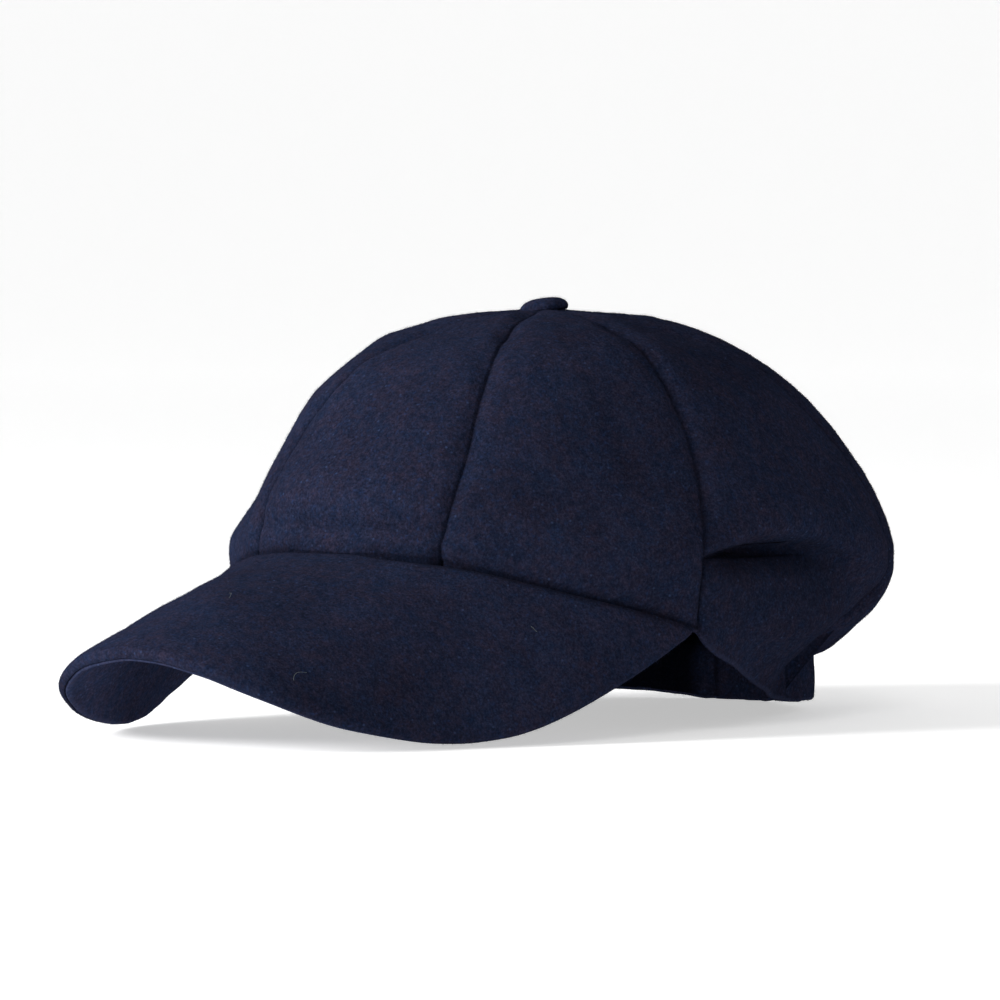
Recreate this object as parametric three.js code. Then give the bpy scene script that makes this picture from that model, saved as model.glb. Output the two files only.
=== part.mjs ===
// A soft peaked cap in brushed wool: eight crown panels that meet under a covered button, a curved
// two-layer peak on the three front panels, and a back hem that elastic gathers into ruffles, so that
// the crown bellies out over it. Millimetres, +Z up, the front towards -Y, the wearer's left at +X.
// The cap stands on the two low lobes of its peak and on its back hem.
import * as THREE from "three";

// Driving dimensions
const PANELS = 8;
const CLOTH = 2.0; // thickness of the wool cloth
const SEAM_GAP = 0.3; // clearance between neighbouring pieces
const CROWN_HALF_WIDTH = 84;
const CROWN_FRONT_REACH = 99.5;
const CROWN_BACK_REACH = 100;
const WIDEST_HEIGHT = 45.5; // height of the crown's widest ring above the table
const WIDEST_FRONT_LIFT = 5; // how much higher that ring runs at the front
const PANEL_FLATNESS = 0.016; // how much flatter a panel's middle is than the ring through its seams
const CROWN_TOP = 110.4;
const APEX_Y = -9; // the button sits a little forward of the crown's middle
const APEX_HOLE_RADIUS = 2.6; // the panels' tips stop at the button's shank
const DOME_SIDE_POWER = 2.5; // superellipse exponents of the dome's profile
const DOME_TOP_POWER = 1.35;
const BAND_HEIGHT = 13; // height of the gathered back hem
const SEAM_DEPTH = 1.2; // how far the seams are pressed in
const SEAM_HALF_WIDTH = 2.6;
const APEX_FLAT_RADIUS = 3; // seams and folds fade out from APEX_FREE_RADIUS in to this one
const APEX_FREE_RADIUS = 14;
const PEAK_THICKNESS = 4.4;
const PEAK_BOW = 2.2; // how much the peak bows up between the crown and its rim
const PEAK_BEAD = 1.2; // width of the top cover's turned edge on the underside
const PEAK_LEAST_WIDTH = 9; // towards the corners the turned edge narrows with the peak, below this width
const PEAK_END = 0.975; // the peak stops just short of its corners' points
const BUTTON_RADIUS = 6.4;
const BUTTON_HEIGHT = 2.6;
const BUTTON_EDGE = 0.5; // radius of its rounded lower edge
const BUTTON_CROWN = 0.7; // share of the radius at which its top begins to turn down
const SHANK_RADIUS = 1.9;
const SHANK_LENGTH = 3.4;

// The hem, one row for each sixteenth of a turn from the front to the back; the other side is its mirror.
const HEM = [
  { name: "front", x: 0, y: -99.5, z: 48.2 },
  { name: "front seam", x: 32.5, y: -92, z: 46.2 },
  { name: "front quarter", x: 60, y: -70.5, z: 38.2 },
  { name: "peak corner", x: 77, y: -38, z: 27.7 },
  { name: "side", x: 69, y: -4, z: 12.2 },
  { name: "elastic end", x: 56, y: 27, z: 4.8 },
  { name: "back quarter", x: 42, y: 54, z: 3 },
  { name: "back seam", x: 23, y: 72, z: 1.6 },
  { name: "back", x: 0, y: 78, z: -0.7 },
];

// The lower edge of the peak's rim, from the middle of the front to the corner at the crown.
const PEAK_RIM = [
  { name: "tip", x: 0, y: -175, z: 23.2 },
  { name: "tip side", x: 20, y: -172, z: 19.7 },
  { name: "front quarter", x: 36, y: -163, z: 12.4 },
  { name: "lobe front", x: 48, y: -145, z: 4.5 },
  { name: "lobe", x: 57, y: -123, z: 0 },
  { name: "lobe back", x: 65, y: -103.5, z: 0.3 },
  { name: "rising edge", x: 71, y: -85, z: 5.2 },
  { name: "near corner", x: 75, y: -62.5, z: 13.8 },
  { name: "corner", x: 77, y: -40, z: 23.2 },
];

// Soft folds and hollows of the crown, on both sides: each is deepest at an azimuth and a height.
const HOLLOWS = [
  { name: "front tuck", azimuth: 0, wide: 24, height: 54, tall: 3.2, depth: 2.2 },
  { name: "front swell", azimuth: 0, wide: 24, height: 64, tall: 7, depth: -1.9 },
  { name: "front quarter hollow", azimuth: 48, wide: 18, height: 68, tall: 16, depth: 4.2 },
  { name: "front quarter shoulder", azimuth: 48, wide: 22, height: 96, tall: 11, depth: -2.6 },
  { name: "front quarter swell", azimuth: 56, wide: 14, height: 46, tall: 8, depth: -2 },
  { name: "tuck where the elastic starts", azimuth: 114.5, wide: 3, height: 4, tall: 13, depth: 2.4 },
];

// The pocket-like fold across each side panel: a lip, arched over its azimuths, over a fold and a hollow.
const CREASE = {
  start: 65.5, // azimuths in degrees
  deep: 73,
  fading: 84,
  end: 112,
  crest: 80,
  crestHeight: 51.2, // height of the lip at its crest, in mm
  sag: 0.0115, // how fast the lip falls away from its crest, in mm per square degree
  depth: 8,
  drop: 4, // how far under the lip the fold is deepest
};
const CREASE_LIP = { lead: 10, trail: 26, above: 7, tall: 8, height: 1.8 };
const CREASE_HOLLOW = { below: 8, onset: 6, tall: 9, depth: 3 };

// How the hem falls away behind the peak's corner, over degrees of azimuth.
const CORNER_DROP = { depth: 3.2, reach: 4.5 };

// Gathers in the back hem, by azimuth from the front in degrees; the inner face is gathered less.
const GATHER = { start: 98, full: 114, ruffles: 20, depth: 1.1, reach: 24, inside: 0.4 };

// The belly's curve: how far it falls straight from the widest ring, how far out it meets the neck, and
// how steeply, for a free hem and for a gathered one.
const BELLY = { fall: 0.6, reach: 0.35, freeRise: 0.4, gatheredRise: 0.08 };

const DEG = Math.PI / 180;
const PANEL_SPAN = 360 / PANELS;
const PEAK_CORNER_AZIMUTH = 1.5 * PANEL_SPAN;
const DOME_SHARE = 0.6; // the dome's share of the way from apex to hem
const BAND_SHARE = 0.1; // the gathered band's, at its full height
const FLATNESS_KEPT_IN_FRONT = 0.4; // the share of the flatness that the panels over the peak have
const FRONT_BY_COSINE = { from: -0.2, to: 0.75 }; // of the azimuth: where that share sets in
const AZIMUTH_STEP = 0.6; // steps for taking a surface's normal, in degrees and in shares of the way down
const DOWN_STEP = 0.012;
const PEAK_STEP = 0.01;

// Facets: rows down each panel in the dome, the belly and the band, and sections across the peak
const DOME_STEPS = evenSteps(9);
const CREASED_DOME_STEPS = [...DOME_STEPS.slice(0, -1), 0.865, 0.925]; // the last two at the crease
const CREASED_BELLY_STEPS = [0, 0.07, ...evenSteps(7).slice(1)];
const FRONT_ROWS = panelRows(DOME_STEPS, evenSteps(1), []);
const FRONT_SIDE_ROWS = panelRows(DOME_STEPS, evenSteps(4), []);
const SIDE_ROWS = panelRows(CREASED_DOME_STEPS, CREASED_BELLY_STEPS, evenSteps(2));
const BACK_ROWS = panelRows(DOME_STEPS, evenSteps(7), evenSteps(2));
const PANEL_TABLE = [
  { name: "panel_front", middle: 0, columns: 10, rows: FRONT_ROWS },
  { name: "panel_front_left", middle: 45, columns: 9, rows: FRONT_SIDE_ROWS },
  { name: "panel_front_right", middle: -45, columns: 9, rows: FRONT_SIDE_ROWS },
  { name: "panel_side_left", middle: 90, columns: 13, rows: SIDE_ROWS },
  { name: "panel_side_right", middle: -90, columns: 13, rows: SIDE_ROWS },
  { name: "panel_back_left", middle: 135, columns: 22, rows: BACK_ROWS },
  { name: "panel_back_right", middle: -135, columns: 22, rows: BACK_ROWS },
  { name: "panel_back", middle: 180, columns: 22, rows: BACK_ROWS },
];
const PEAK_STATIONS = 30;
const UNDER_INSET = 2; // stations at each end where the turned edge takes the peak's whole width
const PEAK_OUTS = [-1, 0, 0.22, 0.44, 0.66, 0.88]; // shares of the way out from the crown to the rim
const RIM_ANGLES = [0, 45, 90, 135, 180]; // round the peak's rim, in degrees
const BUTTON_SPOKES = 24;

function clamp01(v) {
  return Math.min(1, Math.max(0, v));
}

function lerp(a, b, t) {
  return a + (b - a) * t;
}

function smooth(from, to, v) {
  const t = clamp01((v - from) / (to - from));
  return t * t * (3 - 2 * t);
}

// A soft bump of height 1 at v = 0.
function bump(v, halfWidth) {
  return Math.exp(-((v / halfWidth) ** 2));
}

// A smooth curve through rows {x, y, z}, Catmull-Rom; t runs from 0 at the first row to 1 at the last.
// rowAt(i) also answers for the rows beyond both ends.
function throughRows(rowAt, last, t) {
  const at = clamp01(t) * last;
  const i = Math.min(Math.floor(at), last - 1);
  const f = at - i;
  const [p, q, r, s] = [rowAt(i - 1), rowAt(i), rowAt(i + 1), rowAt(i + 2)];
  const blend = (k) => {
    const cubic = 3 * (q[k] - r[k]) + s[k] - p[k];
    const square = 2 * p[k] - 5 * q[k] + 4 * r[k] - s[k];
    return q[k] + 0.5 * f * (r[k] - p[k] + f * (square + f * cubic));
  };
  return new THREE.Vector3(blend("x"), blend("y"), blend("z"));
}

// Rows that continue as their own mirror image in X past both ends.
const mirroredRows = (rows) => (i) => {
  const last = rows.length - 1;
  if (i < 0) return { ...rows[-i], x: -rows[-i].x };
  if (i > last) return { ...rows[2 * last - i], x: -rows[2 * last - i].x };
  return rows[i];
};

// Rows that are mirrored at their first row and run on straight past their last.
const openRows = (rows) => (i) => {
  const last = rows.length - 1;
  if (i < 0) return { ...rows[-i], x: -rows[-i].x };
  if (i <= last) return rows[i];
  const [a, b] = [rows[last - 1], rows[last]];
  return { x: 2 * b.x - a.x, y: 2 * b.y - a.y, z: 2 * b.z - a.z };
};

// Azimuths run from -180 to 180 degrees, 0 at the front, positive towards the wearer's left.
const wrapped = (azimuth) => ((((azimuth + 180) % 360) + 360) % 360) - 180;

function hemPoint(azimuth) {
  const a = wrapped(azimuth);
  const p = throughRows(mirroredRows(HEM), HEM.length - 1, Math.abs(a) / 180);
  p.x *= Math.sign(a) || 1;
  const behind = Math.max(0, Math.abs(a) - PEAK_CORNER_AZIMUTH) / CORNER_DROP.reach;
  p.z -= CORNER_DROP.depth * behind * Math.exp(1 - behind);
  p.z = Math.max(p.z, 0); // pressed flat where it rests
  return p;
}

// How far an azimuth lies from the nearest seam, in degrees; seams are half a panel off the front.
const fromSeam = (azimuth) => {
  const inPanel = (((azimuth + PANEL_SPAN / 2) % PANEL_SPAN) + PANEL_SPAN) % PANEL_SPAN;
  return Math.min(inPanel, PANEL_SPAN - inPanel);
};

// The widest ring: an egg-shaped loop whose panels are flatter than the loop between their seams.
function widestPoint(azimuth) {
  const c = Math.cos(azimuth * DEG);
  const s = Math.sin(azimuth * DEG);
  const middle = Math.sin((fromSeam(azimuth) / PANEL_SPAN) * Math.PI) ** 2;
  const inFront = smooth(FRONT_BY_COSINE.from, FRONT_BY_COSINE.to, c);
  const r = 1 - PANEL_FLATNESS * middle * lerp(1, FLATNESS_KEPT_IN_FRONT, inFront);
  const reach = c > 0 ? CROWN_FRONT_REACH : CROWN_BACK_REACH;
  return new THREE.Vector3(
    CROWN_HALF_WIDTH * s * r,
    -reach * c * r,
    WIDEST_HEIGHT + WIDEST_FRONT_LIFT * Math.max(0, c) ** 2,
  );
}

// How much of the elastic's gathering an azimuth has, from 0 to 1.
const gathered = (azimuth) => smooth(GATHER.start, GATHER.full, Math.abs(wrapped(azimuth)));

// The dome, from the apex (t = 0) to the widest ring (t = 1).
function domePoint(azimuth, t) {
  const ring = widestPoint(azimuth);
  const angle = (t * Math.PI) / 2;
  const out = Math.sin(angle) ** (2 / DOME_SIDE_POWER);
  const up = Math.cos(angle) ** (2 / DOME_TOP_POWER);
  return new THREE.Vector3(ring.x * out, lerp(APEX_Y, ring.y, out), lerp(ring.z, CROWN_TOP, up));
}

// The belly, from the widest ring (t = 0) in and down to the top of the hem band (t = 1).
function bellyPoint(azimuth, t) {
  const ring = widestPoint(azimuth);
  const hem = hemPoint(azimuth);
  const neck = hem.clone();
  neck.z += BAND_HEIGHT * gathered(azimuth);
  const drop = ring.z - neck.z;
  const over = new THREE.Vector3(ring.x - neck.x, ring.y - neck.y, 0);
  const under = ring.clone().setZ(ring.z - BELLY.fall * drop);
  const beside = neck.clone().addScaledVector(over, BELLY.reach);
  beside.z += lerp(BELLY.freeRise, BELLY.gatheredRise, gathered(azimuth)) * drop;
  return new THREE.CubicBezierCurve3(ring, under, beside, neck).getPoint(t);
}

// The hem band, from its top (t = 0) to the hem (t = 1).
function bandPoint(azimuth, t) {
  const hem = hemPoint(azimuth);
  hem.z += BAND_HEIGHT * gathered(azimuth) * (1 - t);
  return hem;
}

function plainCrown(azimuth, t) {
  const bandStart = 1 - BAND_SHARE * gathered(azimuth);
  if (t < DOME_SHARE) return domePoint(azimuth, t / DOME_SHARE);
  if (t <= bandStart) return bellyPoint(azimuth, (t - DOME_SHARE) / (bandStart - DOME_SHARE));
  return bandPoint(azimuth, (t - bandStart) / (1 - bandStart));
}

// The outward normal of a surface(azimuth, t), from nearby points.
function outwardNormal(surface, azimuth, t) {
  const across = surface(azimuth + AZIMUTH_STEP, t).sub(surface(azimuth - AZIMUTH_STEP, t));
  const lower = surface(azimuth, Math.min(1, t + DOWN_STEP));
  const upper = surface(azimuth, Math.max(0, t - DOWN_STEP));
  return across.cross(lower.sub(upper)).negate().normalize();
}

// Signed offset of the cloth from the plain crown, at a depth in it: seams pressed in, and folds.
function relief(azimuth, t, depth) {
  const p = plainCrown(azimuth, t);
  const side = Math.abs(wrapped(azimuth));
  const fromApex = Math.hypot(p.x, p.y - APEX_Y);
  let offset = -SEAM_DEPTH * bump(fromSeam(azimuth) * DEG * fromApex, SEAM_HALF_WIDTH);
  for (const h of HOLLOWS) {
    offset -= h.depth * bump(side - h.azimuth, h.wide) * bump(p.z - h.height, h.tall);
  }
  offset += creaseRelief(side, p.z - depth); // the fold's roof keeps its thickness too
  return offset * smooth(APEX_FLAT_RADIUS, APEX_FREE_RADIUS, fromApex);
}

function creaseRelief(side, z) {
  if (side < PEAK_CORNER_AZIMUTH) return 0;
  const c = CREASE;
  const along = smooth(c.start, c.deep, side) * (1 - smooth(c.fading, c.end, side));
  const lead = smooth(PEAK_CORNER_AZIMUTH, c.deep + CREASE_LIP.lead, side);
  const wide = lead * (1 - smooth(c.fading, c.end + CREASE_LIP.trail, side));
  const below = c.crestHeight - c.sag * (side - c.crest) ** 2 - z;
  const drop = Math.max(0, below) / c.drop;
  const fold = c.depth * drop * Math.exp(1 - drop);
  const sunk = smooth(0, CREASE_HOLLOW.onset, below) * bump(below - CREASE_HOLLOW.below, CREASE_HOLLOW.tall);
  const hollow = CREASE_HOLLOW.depth * sunk;
  const lip = CREASE_LIP.height * bump(below + CREASE_LIP.above, CREASE_LIP.tall);
  return wide * (lip - hollow) - along * fold;
}

// The elastic's ruffles, strongest at the hem.
function ruffle(azimuth, t) {
  const above = plainCrown(azimuth, t).z - hemPoint(azimuth).z;
  const side = Math.abs(wrapped(azimuth));
  const phase = ((side - GATHER.start) / (180 - GATHER.start)) * GATHER.ruffles * Math.PI;
  return GATHER.depth * gathered(azimuth) * bump(above, GATHER.reach) * Math.cos(phase);
}

// A point of the crown's cloth, at a depth below its outer face; sideways shifts it along its ring.
function crownPoint(azimuth, t, depth, sideways) {
  const normal = outwardNormal(plainCrown, azimuth, t);
  if (t === 1) normal.setZ(0).normalize(); // the hem's lower edge is level
  const ring = plainCrown(azimuth + AZIMUTH_STEP, t).sub(plainCrown(azimuth - AZIMUTH_STEP, t)).normalize();
  const lift = relief(azimuth, t, depth) + ruffle(azimuth, t) * (depth > 0 ? GATHER.inside : 1) - depth;
  return plainCrown(azimuth, t).addScaledVector(normal, lift).addScaledVector(ring, sideways);
}

// A closed solid from a grid of outer points and a grid of inner points, both [row][column].
function shellGeometry(outer, inner) {
  const rows = outer.length;
  const columns = outer[0].length;
  const positions = [...outer.flat(), ...inner.flat()].flatMap((p) => [p.x, p.y, p.z]);
  const index = [];
  const out = (i, j) => i * columns + j;
  const inn = (i, j) => rows * columns + i * columns + j;
  const quad = (a, b, c, d) => index.push(a, b, c, a, c, d);
  for (let i = 0; i + 1 < rows; i++) {
    for (let j = 0; j + 1 < columns; j++) {
      quad(out(i, j), out(i + 1, j), out(i + 1, j + 1), out(i, j + 1));
      quad(inn(i, j), inn(i, j + 1), inn(i + 1, j + 1), inn(i + 1, j));
    }
    quad(out(i, 0), inn(i, 0), inn(i + 1, 0), out(i + 1, 0));
    quad(out(i, columns - 1), out(i + 1, columns - 1), inn(i + 1, columns - 1), inn(i, columns - 1));
  }
  for (let j = 0; j + 1 < columns; j++) {
    quad(out(0, j), out(0, j + 1), inn(0, j + 1), inn(0, j));
    quad(out(rows - 1, j), inn(rows - 1, j), inn(rows - 1, j + 1), out(rows - 1, j + 1));
  }
  const geometry = new THREE.BufferGeometry();
  geometry.setAttribute("position", new THREE.Float32BufferAttribute(positions, 3));
  geometry.setIndex(index);
  geometry.computeVertexNormals();
  return geometry;
}

// Shares of a way that starts at 0 and ends before 1, in even steps.
function evenSteps(count) {
  return Array.from({ length: count }, (_, i) => i / count);
}

// The way-down values of a panel's rows, from steps through the dome, the belly and the band.
function panelRows(domeSteps, bellySteps, bandSteps) {
  const tip = Math.asin((APEX_HOLE_RADIUS / CROWN_HALF_WIDTH) ** (DOME_SIDE_POWER / 2)) / (Math.PI / 2);
  const bandStart = bandSteps.length ? 1 - BAND_SHARE : 1;
  const dome = domeSteps.map((step) => lerp(tip, 1, step) * DOME_SHARE);
  const belly = bellySteps.map((step) => lerp(DOME_SHARE, bandStart, step));
  const band = bandSteps.map((step) => lerp(bandStart, 1, step));
  return [...dome, ...belly, ...band, 1];
}

function crownPanel(middle, columns, rows) {
  const from = middle - PANEL_SPAN / 2;
  const grid = (depth) =>
    rows.map((t) =>
      Array.from({ length: columns + 1 }, (_, j) => {
        const sideways = j === 0 ? SEAM_GAP / 2 : j === columns ? -SEAM_GAP / 2 : 0;
        return crownPoint(from + (PANEL_SPAN * j) / columns, t, depth, sideways);
      }),
    );
  return shellGeometry(grid(0), grid(CLOTH));
}

// The peak's upper face: across from -1 to 1 between its corners, out from 0 at the crown to 1 at the rim.
// From -1 to 0 it is a level ledge that runs in under the panels' hem, where the sheet isn't upright.
function peakSheet(across, out) {
  const azimuth = across * PEAK_CORNER_AZIMUTH;
  const edge = hemPoint(azimuth);
  edge.z -= SEAM_GAP;
  if (out < 0) {
    const outward = outwardNormal(plainCrown, azimuth, 1).setZ(0).normalize();
    return edge.addScaledVector(outward, CLOTH * out * peakNormal(across, 0).z);
  }
  const rim = throughRows(openRows(PEAK_RIM), PEAK_RIM.length - 1, Math.abs(across));
  rim.x *= Math.sign(across) || 1;
  rim.z += PEAK_THICKNESS;
  const p = edge.lerp(rim, out);
  p.z += PEAK_BOW * 4 * out * (1 - out) * (1 - across * across);
  return p;
}

function peakNormal(across, out) {
  if (out < 0) return peakNormal(across, 0);
  const over = peakSheet(across + PEAK_STEP, out).sub(peakSheet(across - PEAK_STEP, out));
  const outer = peakSheet(across, Math.min(1, out + PEAK_STEP));
  const inner = peakSheet(across, Math.max(0, out - PEAK_STEP));
  return outer.sub(inner).cross(over).normalize();
}

// A point of the peak at a depth below its upper face, and beyond its rim by a distance. Where the peak
// rests on the table its cloth is pressed flat.
function peakPoint(across, out, depth, beyond) {
  const p = peakSheet(across, out).addScaledVector(peakNormal(across, out), -depth);
  if (beyond) {
    const away = peakSheet(across, 1).sub(peakSheet(across, 1 - PEAK_STEP)).normalize();
    p.addScaledVector(away, beyond);
  }
  p.z = Math.max(p.z, 0);
  return p;
}

// The facets that close a loft's end: a strip between the section's two sides, from point number start.
function endFaces(count, start, turned) {
  const faces = [];
  for (let j = 0; j + 1 < count / 2; j++) {
    const [a, b, c, d] = [j, j + 1, count - 2 - j, count - 1 - j].map((k) => start + k);
    faces.push([a, b, d]);
    if (b !== c) faces.push([b, c, d]);
  }
  return faces.flatMap(([a, b, c]) => (turned ? [a, c, b] : [a, b, c]));
}

// A closed solid lofted through sections, each a closed loop of points with as many points as the others.
// Each facet is split along its shorter diagonal, so that parallel faces are split alike.
function loftGeometry(sections) {
  const count = sections[0].length;
  const points = sections.flat();
  const positions = points.flatMap((p) => [p.x, p.y, p.z]);
  const index = [];
  const at = (i, j) => i * count + (j % count);
  for (let i = 0; i + 1 < sections.length; i++) {
    for (let j = 0; j < count; j++) {
      const [a, b, c, d] = [at(i, j), at(i, j + 1), at(i + 1, j + 1), at(i + 1, j)];
      if (points[a].distanceTo(points[c]) < points[b].distanceTo(points[d])) index.push(a, b, c, a, c, d);
      else index.push(a, b, d, b, c, d);
    }
  }
  index.push(...endFaces(count, 0, true));
  index.push(...endFaces(count, points.length - count, false));
  const geometry = new THREE.BufferGeometry();
  geometry.setAttribute("position", new THREE.Float32BufferAttribute(positions, 3));
  geometry.setIndex(index);
  geometry.computeVertexNormals();
  return geometry;
}

// The peak's two covers are lofts of sections across the peak. Both have their rows at the same places,
// so that the clearance between them is even.
function peakWidth(across) {
  return peakSheet(across, 0).distanceTo(peakSheet(across, 1));
}

// Where the top cover's turned edge ends on the underside, as a share of the way out.
function beadStart(across) {
  return 1 - PEAK_BEAD / Math.max(peakWidth(across), PEAK_LEAST_WIDTH);
}

function topCoverSection(across) {
  const bead = beadStart(across);
  const half = PEAK_THICKNESS / 2;
  const top = PEAK_OUTS.map((out) => peakPoint(across, out, 0, 0));
  const nose = RIM_ANGLES.map((angle) =>
    peakPoint(across, 1, half - half * Math.cos(angle * DEG), half * Math.sin(angle * DEG)),
  );
  const bottom = [peakPoint(across, bead, PEAK_THICKNESS, 0), peakPoint(across, bead, CLOTH, 0)];
  const innerOuts = PEAK_OUTS.map((out) => (out < 0 ? out : out * bead)).reverse();
  const inner = innerOuts.map((out) => peakPoint(across, out, CLOTH, 0));
  return [...top, ...nose, ...bottom, ...inner];
}

function underCoverSection(across) {
  const bead = beadStart(across);
  const edge = bead - SEAM_GAP / peakWidth(across);
  const outs = [...PEAK_OUTS.map((out) => (out < 0 ? out : out * bead)), edge];
  const top = outs.map((out) => peakPoint(across, out, CLOTH + SEAM_GAP, 0));
  const under = [...outs].reverse().map((out) => peakPoint(across, out, PEAK_THICKNESS, 0));
  return [...top, ...under];
}

function peakStations() {
  return Array.from({ length: PEAK_STATIONS + 1 }, (_, i) => lerp(-PEAK_END, PEAK_END, i / PEAK_STATIONS));
}

function peakTop() {
  return loftGeometry(peakStations().map(topCoverSection));
}

function peakUnder() {
  return loftGeometry(peakStations().slice(UNDER_INSET, -UNDER_INSET).map(underCoverSection));
}

// The covered button: a low dome on a shank that goes down through the hole between the panels' tips.
function coveredButton() {
  const profile = new THREE.Path();
  profile.moveTo(0, -SHANK_LENGTH);
  profile.lineTo(SHANK_RADIUS, -SHANK_LENGTH);
  profile.lineTo(SHANK_RADIUS, 0);
  profile.lineTo(BUTTON_RADIUS - BUTTON_EDGE, 0);
  profile.quadraticCurveTo(BUTTON_RADIUS, 0, BUTTON_RADIUS, BUTTON_EDGE);
  profile.quadraticCurveTo(BUTTON_CROWN * BUTTON_RADIUS, BUTTON_HEIGHT, 0, BUTTON_HEIGHT);
  const lathe = new THREE.LatheGeometry(profile.getPoints(5), BUTTON_SPOKES);
  lathe.rotateX(Math.PI / 2);
  lathe.translate(0, APEX_Y, CROWN_TOP + SEAM_GAP);
  return lathe;
}

function wool(colour) {
  return new THREE.MeshStandardMaterial({ color: colour, roughness: 0.95, metalness: 0 });
}

function named(name, geometry, material) {
  const mesh = new THREE.Mesh(geometry, material);
  mesh.name = name;
  return mesh;
}

const cap = new THREE.Group();
const crownWool = wool(0x1c2140);
for (const { name, middle, columns, rows } of PANEL_TABLE) {
  cap.add(named(name, crownPanel(middle, columns, rows), crownWool));
}
cap.add(named("peak_top", peakTop(), wool(0x1b2040)));
cap.add(named("peak_under", peakUnder(), wool(0x18203f)));
cap.add(named("button", coveredButton(), wool(0x1d2242)));

// The part's origin is the bottom centre of its bounding box.
const bounds = new THREE.Box3().setFromObject(cap, true);
const centre = bounds.getCenter(new THREE.Vector3());
cap.position.set(0, -centre.y, -bounds.min.z);

export default cap;
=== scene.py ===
"""The looks of a soft peaked cap in navy brushed wool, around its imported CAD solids.

Every piece of cloth is a closed mesh: eight crown panels with pressed-in seams, folds and a gathered
hem, the peak's upper and under cover, and the covered button, each with the wool's raised fibres.
Sizes are in millimetres in the cap's own axes: +Z up, the front towards -Y, the wearer's left at +X.
They go to metres in the frame when a mesh is made.
"""
import math

import bpy
import numpy as np
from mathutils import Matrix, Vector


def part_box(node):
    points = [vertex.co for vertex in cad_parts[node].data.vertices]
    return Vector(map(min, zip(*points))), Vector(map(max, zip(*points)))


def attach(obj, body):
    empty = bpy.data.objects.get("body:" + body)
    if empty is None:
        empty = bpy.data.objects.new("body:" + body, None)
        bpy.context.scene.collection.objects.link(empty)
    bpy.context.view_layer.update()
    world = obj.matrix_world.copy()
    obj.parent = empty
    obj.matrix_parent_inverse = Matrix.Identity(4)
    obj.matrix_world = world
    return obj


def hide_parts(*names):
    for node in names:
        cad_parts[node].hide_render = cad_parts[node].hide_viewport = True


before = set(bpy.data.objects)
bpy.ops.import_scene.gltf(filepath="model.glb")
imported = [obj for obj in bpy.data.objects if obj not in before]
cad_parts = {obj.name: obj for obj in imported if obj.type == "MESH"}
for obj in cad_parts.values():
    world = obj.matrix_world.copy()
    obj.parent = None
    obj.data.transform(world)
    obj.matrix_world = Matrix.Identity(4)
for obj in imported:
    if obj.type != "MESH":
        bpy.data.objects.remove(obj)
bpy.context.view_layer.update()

# Driving dimensions
PANELS = 8
CLOTH = 2.0  # thickness of the wool cloth
NAP = 0.3  # how much of that thickness is the raised nap's
CROWN_HALF_WIDTH = 84.0
CROWN_FRONT_REACH = 99.5
CROWN_BACK_REACH = 100.0
WIDEST_HEIGHT = 45.5  # height of the crown's widest ring above the table
WIDEST_FRONT_LIFT = 5.0  # how much higher that ring runs at the front
PANEL_FLATNESS = 0.016  # how much flatter a panel's middle is than the ring through its seams
FLATNESS_KEPT_IN_FRONT = 0.4
FLATNESS_FADES = (-0.2, 0.75)  # between these cosines of the angle from the front
CROWN_TOP = 110.4
APEX_Y = -9.0
APEX_HOLE_SHARE = 0.028  # the panels' tips, as a share of the widest ring
APEX_FLAT_RADIUS = 3.0  # seams and folds fade out from APEX_FREE_RADIUS in to this one
APEX_FREE_RADIUS = 14.0
DOME_SIDE_POWER = 2.5  # superellipse exponents of the dome's profile
DOME_TOP_POWER = 1.35
DOME_SHARE = 0.6  # the dome's share of the way from the apex to the hem
BELLY_FALL = 0.6  # the belly's curve heads straight down for this share of its drop
BELLY_REACH = 0.35  # and reaches the hem from this share of its overhang further out,
BELLY_RISE = 0.4  # this share of the drop higher, or less where the hem is gathered
BELLY_RISE_GATHERED = 0.08
BAND_HEIGHT = 13.0  # height of the gathered back hem
BAND_SHARE = 0.1
PEAK_THICKNESS = 4.4
PEAK_BOW = 2.2  # how much the peak bows up between the crown and its rim
PEAK_END = 0.985  # the peak stops just short of its corners' points
PEAK_TUCK = 3.4  # how far its seam allowance runs in under the panels
PEAK_TUCK_LEAST = 0.1  # the least share of that where the peak stands steep
PEAK_SEAM_ANGLE = 128.0  # where the covers meet round the rim, in degrees from the upper face
PEAK_SEAM_DEPTH = 1.0  # how far below the rim's face the covers go on past their seam
PANEL_SPAN = 360.0 / PANELS
PEAK_CORNER_AZIMUTH = 1.5 * PANEL_SPAN
TINY = 1e-9

# The hem from the front to the back, a row for each sixteenth of a turn; the other side is its mirror.
HEM = np.array([
    (0, -99.5, 48.2),  # front
    (32.5, -92, 46.2),  # front seam
    (60, -70.5, 38.2),  # front quarter
    (77, -38, 27.7),  # peak corner
    (69, -4, 12.2),  # side
    (56, 27, 4.8),  # elastic end
    (42, 54, 3),  # back quarter
    (23, 72, 1.6),  # back seam
    (0, 78, -0.7),  # back
], float)

# The lower edge of the peak's rim, from the middle of the front to the corner at the crown.
PEAK_RIM = np.array([
    (0, -175, 23.2),  # tip
    (20, -172, 19.7),  # tip side
    (36, -163, 12.4),  # front quarter
    (48, -145, 4.5),  # lobe front
    (57, -123, 0),  # lobe
    (65, -103.5, 0.3),  # lobe back
    (71, -85, 5.2),  # rising edge
    (75, -62.5, 13.8),  # near corner
    (77, -40, 23.2),  # corner
], float)

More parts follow.
